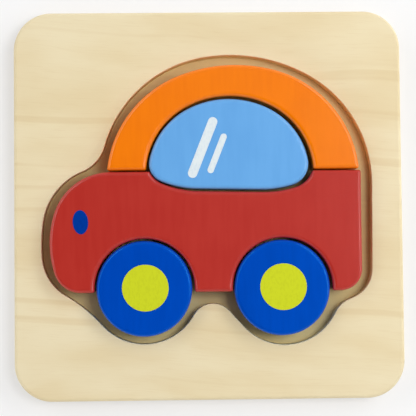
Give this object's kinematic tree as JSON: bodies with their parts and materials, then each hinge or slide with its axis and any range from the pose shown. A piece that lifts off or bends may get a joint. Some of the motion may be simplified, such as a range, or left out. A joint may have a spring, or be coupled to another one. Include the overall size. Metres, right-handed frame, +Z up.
{
  "type": "inset car puzzle",
  "caption": "Square wooden tray with a car-shaped pocket that holds chunky painted blocks: a red body, an orange roof, a blue window and blue wheels, each of which lifts straight out.",
  "frame": {"origin": "middle of the tray's underside, on the surface that it lies on", "axes": "+X from the car's nose to its tail, +Y from its wheels to its roof, +Z up out of the tray, the way each block lifts"},
  "size_m": [0.15, 0.15, 0.0151],
  "materials": {
    "tray_wood": "bare pale plywood, fine sanded",
    "red_paint": "satin paint on wood",
    "orange_paint": "satin paint on wood",
    "sky_paint": "satin paint on wood",
    "blue_paint": "satin paint on wood",
    "navy_ink": "printed ink film",
    "white_ink": "printed ink film",
    "lime_ink": "printed ink film"
  },
  "bodies": {
    "tray": {"backing_board": "tray_wood", "frame_board": "tray_wood"},
    "body_block": {"car_body": "red_paint", "headlight_print": "navy_ink"},
    "roof_block": {"car_roof": "orange_paint"},
    "window_block": {"car_window": "sky_paint", "window_glint_long": "white_ink", "window_glint_short": "white_ink"},
    "front_wheel_block": {"front_wheel": "blue_paint", "front_hub_print": "lime_ink"},
    "rear_wheel_block": {"rear_wheel": "blue_paint", "rear_hub_print": "lime_ink"}
  },
  "joints": [
    {"name": "body_lift", "type": "slide", "parent": "tray", "child": "body_block", "axis": [0, 0, 1], "range_m": [0, 0.03]},
    {"name": "roof_lift", "type": "slide", "parent": "tray", "child": "roof_block", "axis": [0, 0, 1], "range_m": [0, 0.03]},
    {"name": "window_lift", "type": "slide", "parent": "tray", "child": "window_block", "axis": [0, 0, 1], "range_m": [0, 0.03]},
    {"name": "front_wheel_lift", "type": "slide", "parent": "tray", "child": "front_wheel_block", "axis": [0, 0, 1], "range_m": [0, 0.03]},
    {"name": "rear_wheel_lift", "type": "slide", "parent": "tray", "child": "rear_wheel_block", "axis": [0, 0, 1], "range_m": [0, 0.03]}
  ]
}
